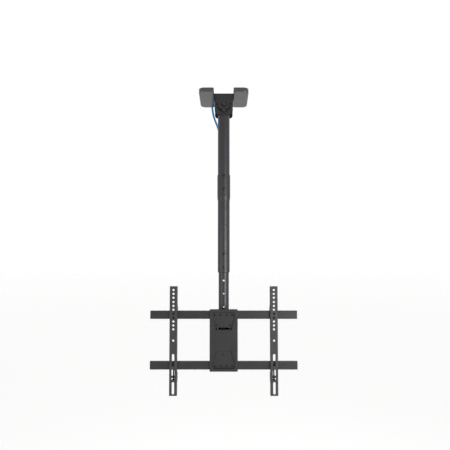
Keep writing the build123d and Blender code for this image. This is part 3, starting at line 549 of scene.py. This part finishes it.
# Drop tube and its glide ring: slim coated tube with a row of holes, and a plastic cap ring that
# centres it in the pole.
dress(tube_coat, "drop_tube")
dress(bush_plastic, "glide_ring")


# Tilt yoke: a channel folded from sheet and coated like the ceiling plate. Two bolts hold it round
# the drop tube from behind, in nuts that are welded inside the tube.
sheet_coat = powder_coat("sheet_coat", sheet_tone, sheet_peel, smooth=0.36, rough=0.46, shine=0.4)
dress(sheet_coat, "tilt_yoke")
dress(screw_zinc, "yoke_bolts", "yoke_nuts")


# Tilt bolts: the hinge of the head and its lock, M8 hexagon bolts across the yoke and the ears. They
# have plated washers, turned sleeves in the yoke, and nylon rings where the ears rub.
corner_across = 0.0
hex_bolt("tilt_hex_bolt", "tilt_bolt", "drop", corner_across)
hex_bolt("tilt_lock_hex_bolt", "tilt_lock_bolt", "drop", corner_across)
low, high = box_of("tilt_nuts")
nut_y = (low[1] + high[1]) / 2
nut_half = bolt_flats / 2
hex_nut(
    "tilt_hex_nuts",
    "tilt_nuts",
    "drop",
    0,
    [(low[0], nut_y, nut_z) for nut_z in (high[2] - nut_half, low[2] + nut_half)],
    corner_across,
)
dress(screw_zinc, "tilt_washers")
dress(nylon, "friction_washers")
dress(sleeve_zinc, "tilt_sleeves")


# Tilt bracket: folded sheet between the yoke and the head plate, with two ears for the tilt bolts.
# It stays out of sight, and its coat is thin and dull.
bracket_coat = powder_coat("bracket_coat", sheet_tone, sheet_peel, smooth=0.8, rough=0.95, shine=0.2)
dress(bracket_coat, "tilt_bracket")


# Head plate: pressed sheet with a folded rim and two sunk pads, which carry the rails and, with
# three screws, the tilt bracket. Its coat is a little lighter than the ceiling plate's.
head_tone = (0.015, 0.015, 0.016)
head_coat = powder_coat("head_coat", head_tone, sheet_peel, smooth=0.36, rough=0.46, shine=0.4)
dress(head_coat, "head_plate")
dress(screw_zinc, "bracket_screws", "bracket_nuts")


# Rails: two long channels, folded from sheet and coated with the head plate. Four screws and nuts
# hold each of them behind a pad.
dress(head_coat, "upper_rail", "lower_rail")
dress(screw_zinc, "rail_screws", "rail_nuts")


# Arms: punched and folded channels that hook on the rails, each with a tapped steel block for its
# lock screw. Their coat is the lightest of all.
arm_tone = (0.028, 0.028, 0.03)
arm_coat = powder_coat("arm_coat", arm_tone, sheet_peel, smooth=0.4, rough=0.5, shine=0.4)
dress(arm_coat, "left_arm", "right_arm")
dress(screw_zinc, "left_lock_block", "right_lock_block")


# Lock screws: M6 screws with a turned and knurled head, plated dark. Each rises through its arm's
# block to the lower rail.
def lock_screw(name, node, body):
    """Screw in a node's place, head down: the head's radius waves round it for the knurl, and the
    shank above it is thread to its bevelled tip."""
    low, high = box_of(node)
    knurl = knurl_depth * np.abs((turn * knurls / (2 * math.pi)) % 1.0 - 0.5) * 2
    rim = (high[0] - low[0]) / 2 - knurl
    head = rows_of(
        (0.45 * rim, 0.0),
        (0.8 * rim, 0.0),
        (rim - rim_round, rim_round),
        (rim, rim_start),
        (rim, knurled_head - rim_break),
        (rim - rim_break, knurled_head),
        (lock_shank, knurled_head),
    )
    reach = high[2] - low[2]
    tip_start = reach - lock_tip
    grooves = thread(lock_shank, lock_groove, lock_pitch, knurled_head + lock_pitch, tip_start)
    tip = rows_of((lock_shank - lock_groove, tip_start), (lock_shank - lock_tip_cut, reach))
    middle = (low + high) / 2
    middle[2] = low[2]
    screw = closed_mesh(name, rings_round(2, middle, *joined(head, grooves, tip)))
    fasten(screw, screw_zinc, node, body)


turn = full_turn(96)
knurls = 24
knurl_depth = 0.0005
knurled_head = 0.005
rim_round = 0.0004
rim_start = 0.0009
rim_break = 0.0006
lock_shank = 0.003
lock_pitch = 0.001
lock_groove = 0.00052
lock_tip = 0.0008
lock_tip_cut = 0.0009
lock_screw("left_knurled_screw", "left_lock_screw", "left_arm")
lock_screw("right_knurled_screw", "right_lock_screw", "right_arm")


# Cable: a round lead in a soft blue jacket. It leaves the left cover's back wall, hangs in a loop
# behind the hinge, enters the upper tube's slot and runs down inside the tubes.
cable_radius = 0.00425
cable_route = [
    (-0.054, 0.036, -0.009),
    (-0.053, 0.103, -0.009),
    (-0.047, 0.117, -0.047),
    (-0.032, 0.090, -0.092),
    (-0.023, 0.046, -0.130),
    (-0.013, 0.010, -0.178),
    (-0.010, 0.0, -0.228),
    (-0.010, 0.0, -0.279),
    (-0.010, 0.0, -1.085),
]


def smooth_line(name, route, steps):
    """Points along the smooth curve that the route's points pull, steps to each stretch."""
    curve = bpy.data.curves.new(name, "CURVE")
    curve.dimensions = "3D"
    spline = curve.splines.new("NURBS")
    spline.points.add(len(route) - 1)
    for point, place in zip(spline.points, route):
        point.co = (*place, 1.0)
    spline.order_u = 3
    spline.use_endpoint_u = True
    spline.resolution_u = steps
    guide = bpy.data.objects.new(name, curve)
    line = bpy.data.meshes.new_from_object(guide)
    places = np.empty(3 * len(line.vertices))
    line.vertices.foreach_get("co", places)
    bpy.data.objects.remove(guide)
    bpy.data.meshes.remove(line)
    return places.reshape(-1, 3)


def tube_rings(line, radius):
    """Rings of a tube: at each point, a circle across the line, whose first arm is the X axis less
    its share along the line."""
    along = np.gradient(line, axis=0)
    along /= np.linalg.norm(along, axis=1, keepdims=True)
    first = np.array([1.0, 0.0, 0.0]) - along[:, :1] * along
    first /= np.linalg.norm(first, axis=1, keepdims=True)
    second = np.cross(along, first)
    arms = np.cos(turn)[None, :, None] * first[:, None] + np.sin(turn)[None, :, None] * second[:, None]
    return line[:, None] + radius * arms


def soft_jacket(name, tone):
    """Soft vinyl: colour that fades a little in clouds, a low sheen and faint ripples."""
    material, tree, shader, place = bare_material(name)
    shader.inputs["Roughness"].default_value = 0.5
    shader.inputs["Specular IOR Level"].default_value = 0.3
    cloud = clouds(tree, place, scale=60.0, detail=3.0)
    two_shades(tree, shader, cloud, 0.3, shaded(tone, 0.88), 0.7, shaded(tone, 1.1))
    raised(tree, shader, cloud, strength=0.15, depth=0.0004)
    return material


turn = full_turn(24)
cable_line = smooth_line("cable_guide", cable_route, 16)
cable = closed_mesh("cable_jacket", tube_rings(cable_line, cable_radius))
# The jacket's blue is painted lighter than the vinyl's own: painted light that makes up for the shade behind
# the hinge, where the cable hangs.
cable.data.materials.append(soft_jacket("blue_vinyl_painted_light", (0.008, 0.34, 0.78)))
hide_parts("cable")
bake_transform(cable)


# Cable plug: a black grip moulded round the cable's end, with a ribbed strain relief above it and
# a folded, nickel plated shell below, in which the contact board stands.
def oblong(middle, half_width, half_depth, power, size, height):
    """Rings of a rounded oblong: cosine and sine of the turn, drawn to the corners by the root
    power / 2, times the half sides and the ring's size."""
    across = np.sign(np.cos(turn)) * np.abs(np.cos(turn)) ** (2 / power)
    deep = np.sign(np.sin(turn)) * np.abs(np.sin(turn)) ** (2 / power)
    points = np.empty((len(height), len(turn), 3))
    points[..., 0] = middle[0] + half_width * size[:, None] * across
    points[..., 1] = middle[1] + half_depth * size[:, None] * deep
    points[..., 2] = height[:, None]
    return points


turn = full_turn(64)
low, high = box_of("cable_plug")
plug_middle = ((low[0] + high[0]) / 2, 0.0)
plug_foot = low[2]

relief_length = 0.008
relief_sink = 0.001
relief_radius = 0.0046
relief_flare = 0.0008
relief_ribs = 4
rib_depth = 0.0007
relief_top = high[2]
relief_foot = relief_top - relief_length
relief_along = np.linspace(0.0, 1.0, 41)
relief_groove = np.cos(2 * math.pi * relief_ribs * relief_along) < 0
relief_size = relief_radius + relief_flare * relief_along - rib_depth * relief_groove
relief_height = relief_top + (relief_foot - relief_sink - relief_top) * relief_along
relief = rings_round(
    2,
    (cable_route[-1][0], 0.0, 0.0),
    relief_size[:, None],
    relief_height[:, None] + 0 * turn,
)

grip_length = 0.024
grip_power = 5.0
grip_foot = relief_foot - grip_length
grip_along = np.linspace(-1.0, 1.0, 49)
grip_ends = (1 - np.abs(grip_along) ** 14) ** 0.25
grip_lines = np.cos(6 * math.pi * grip_along) > 0.6
grip = oblong(
    plug_middle,
    (high[0] - low[0]) / 2,
    (high[1] - low[1]) / 2,
    grip_power,
    grip_ends * 0.08 + 0.92 - 0.03 * grip_lines,
    (relief_foot + grip_foot) / 2 - (relief_foot - grip_foot) / 2 * grip_along,
)
plug_grip = closed_mesh("plug_grip", relief, grip)
plug_tone = (0.01, 0.01, 0.011)
plug_plastic = grained_plastic("plug_plastic", plug_tone, grain=0.0005, smooth=0.4, rough=0.55, shine=0.5)
plug_grip.data.materials.append(plug_plastic)

shell_half_width = 0.006
shell_half_depth = 0.00225
board_half_width = 0.0045
board_half_depth = 0.0006
shell_power = 9.0
shell = oblong(
    plug_middle,
    shell_half_width,
    shell_half_depth,
    shell_power,
    np.array([1.0, 1.0, 0.97, 0.9, 0.9]),
    np.array([grip_foot + 0.002, plug_foot + 0.0003, plug_foot, plug_foot + 0.0002, grip_foot + 0.001]),
)
board = oblong(
    plug_middle,
    board_half_width,
    board_half_depth,
    shell_power,
    np.array([1.0, 1.0, 0.9]),
    np.array([grip_foot + 0.0015, plug_foot + 0.0022, plug_foot + 0.002]),
)
plug_shell = closed_mesh("plug_shell", shell, board)
plug_shell.data.materials.append(plated_steel("plug_nickel", (0.45, 0.44, 0.42), (0.62, 0.61, 0.58)))
for piece in (plug_grip, plug_shell):
    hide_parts("cable_plug")
    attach(piece, "pole")


low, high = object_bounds()
